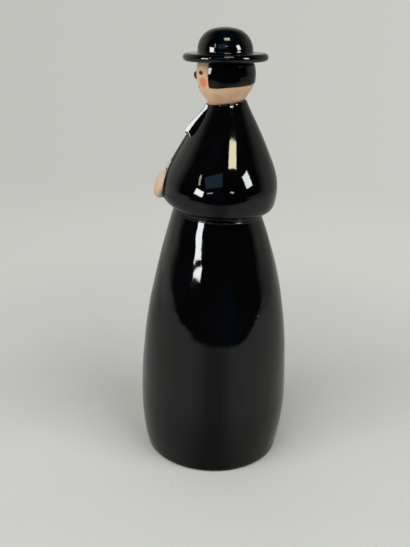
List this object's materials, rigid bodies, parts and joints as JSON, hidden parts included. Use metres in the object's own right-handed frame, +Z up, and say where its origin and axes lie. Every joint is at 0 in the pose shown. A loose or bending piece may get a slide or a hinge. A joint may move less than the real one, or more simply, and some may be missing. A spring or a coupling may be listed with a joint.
{
  "type": "figural liquor decanter",
  "caption": "Hollow glazed ceramic liquor decanter shaped as a standing country priest in cassock, cape and round hat; the head is a cork stopper that lifts out and turns.",
  "frame": {"origin": "centre of the round foot, on the surface that the decanter stands on", "axes": "+Z up along the body, the figure faces -Y, and +X is the figure's left"},
  "size_m": [0.0946, 0.0946, 0.265],
  "materials": {
    "black_glaze": "deep glossy black glaze, unglazed under the foot ring",
    "bib_glaze": "white painted faces under a clear glaze, with glossy black sides",
    "flesh_glaze": "painted flesh colour under a clear glaze",
    "red_glaze": "glossy dark red glaze",
    "cork": "natural cork"
  },
  "bodies": {
    "bottle": {"cassock": "black_glaze", "cape": "black_glaze", "left_band": "bib_glaze", "right_band": "bib_glaze", "left_hand": "flesh_glaze", "right_hand": "flesh_glaze"},
    "cork": {"stopper_cork": "cork"},
    "stopper": {"head": "flesh_glaze", "nose": "red_glaze", "hat": "black_glaze"}
  },
  "joints": [
    {"name": "stopper_lift", "type": "slide", "parent": "bottle", "child": "cork", "axis": [0, 0, 1], "range_m": [0, 0.06]},
    {"name": "head_turn", "type": "hinge", "parent": "cork", "child": "stopper", "pos_m": [0, 0.0015, 0.222], "axis": [0, 0, 1], "continuous": true}
  ]
}
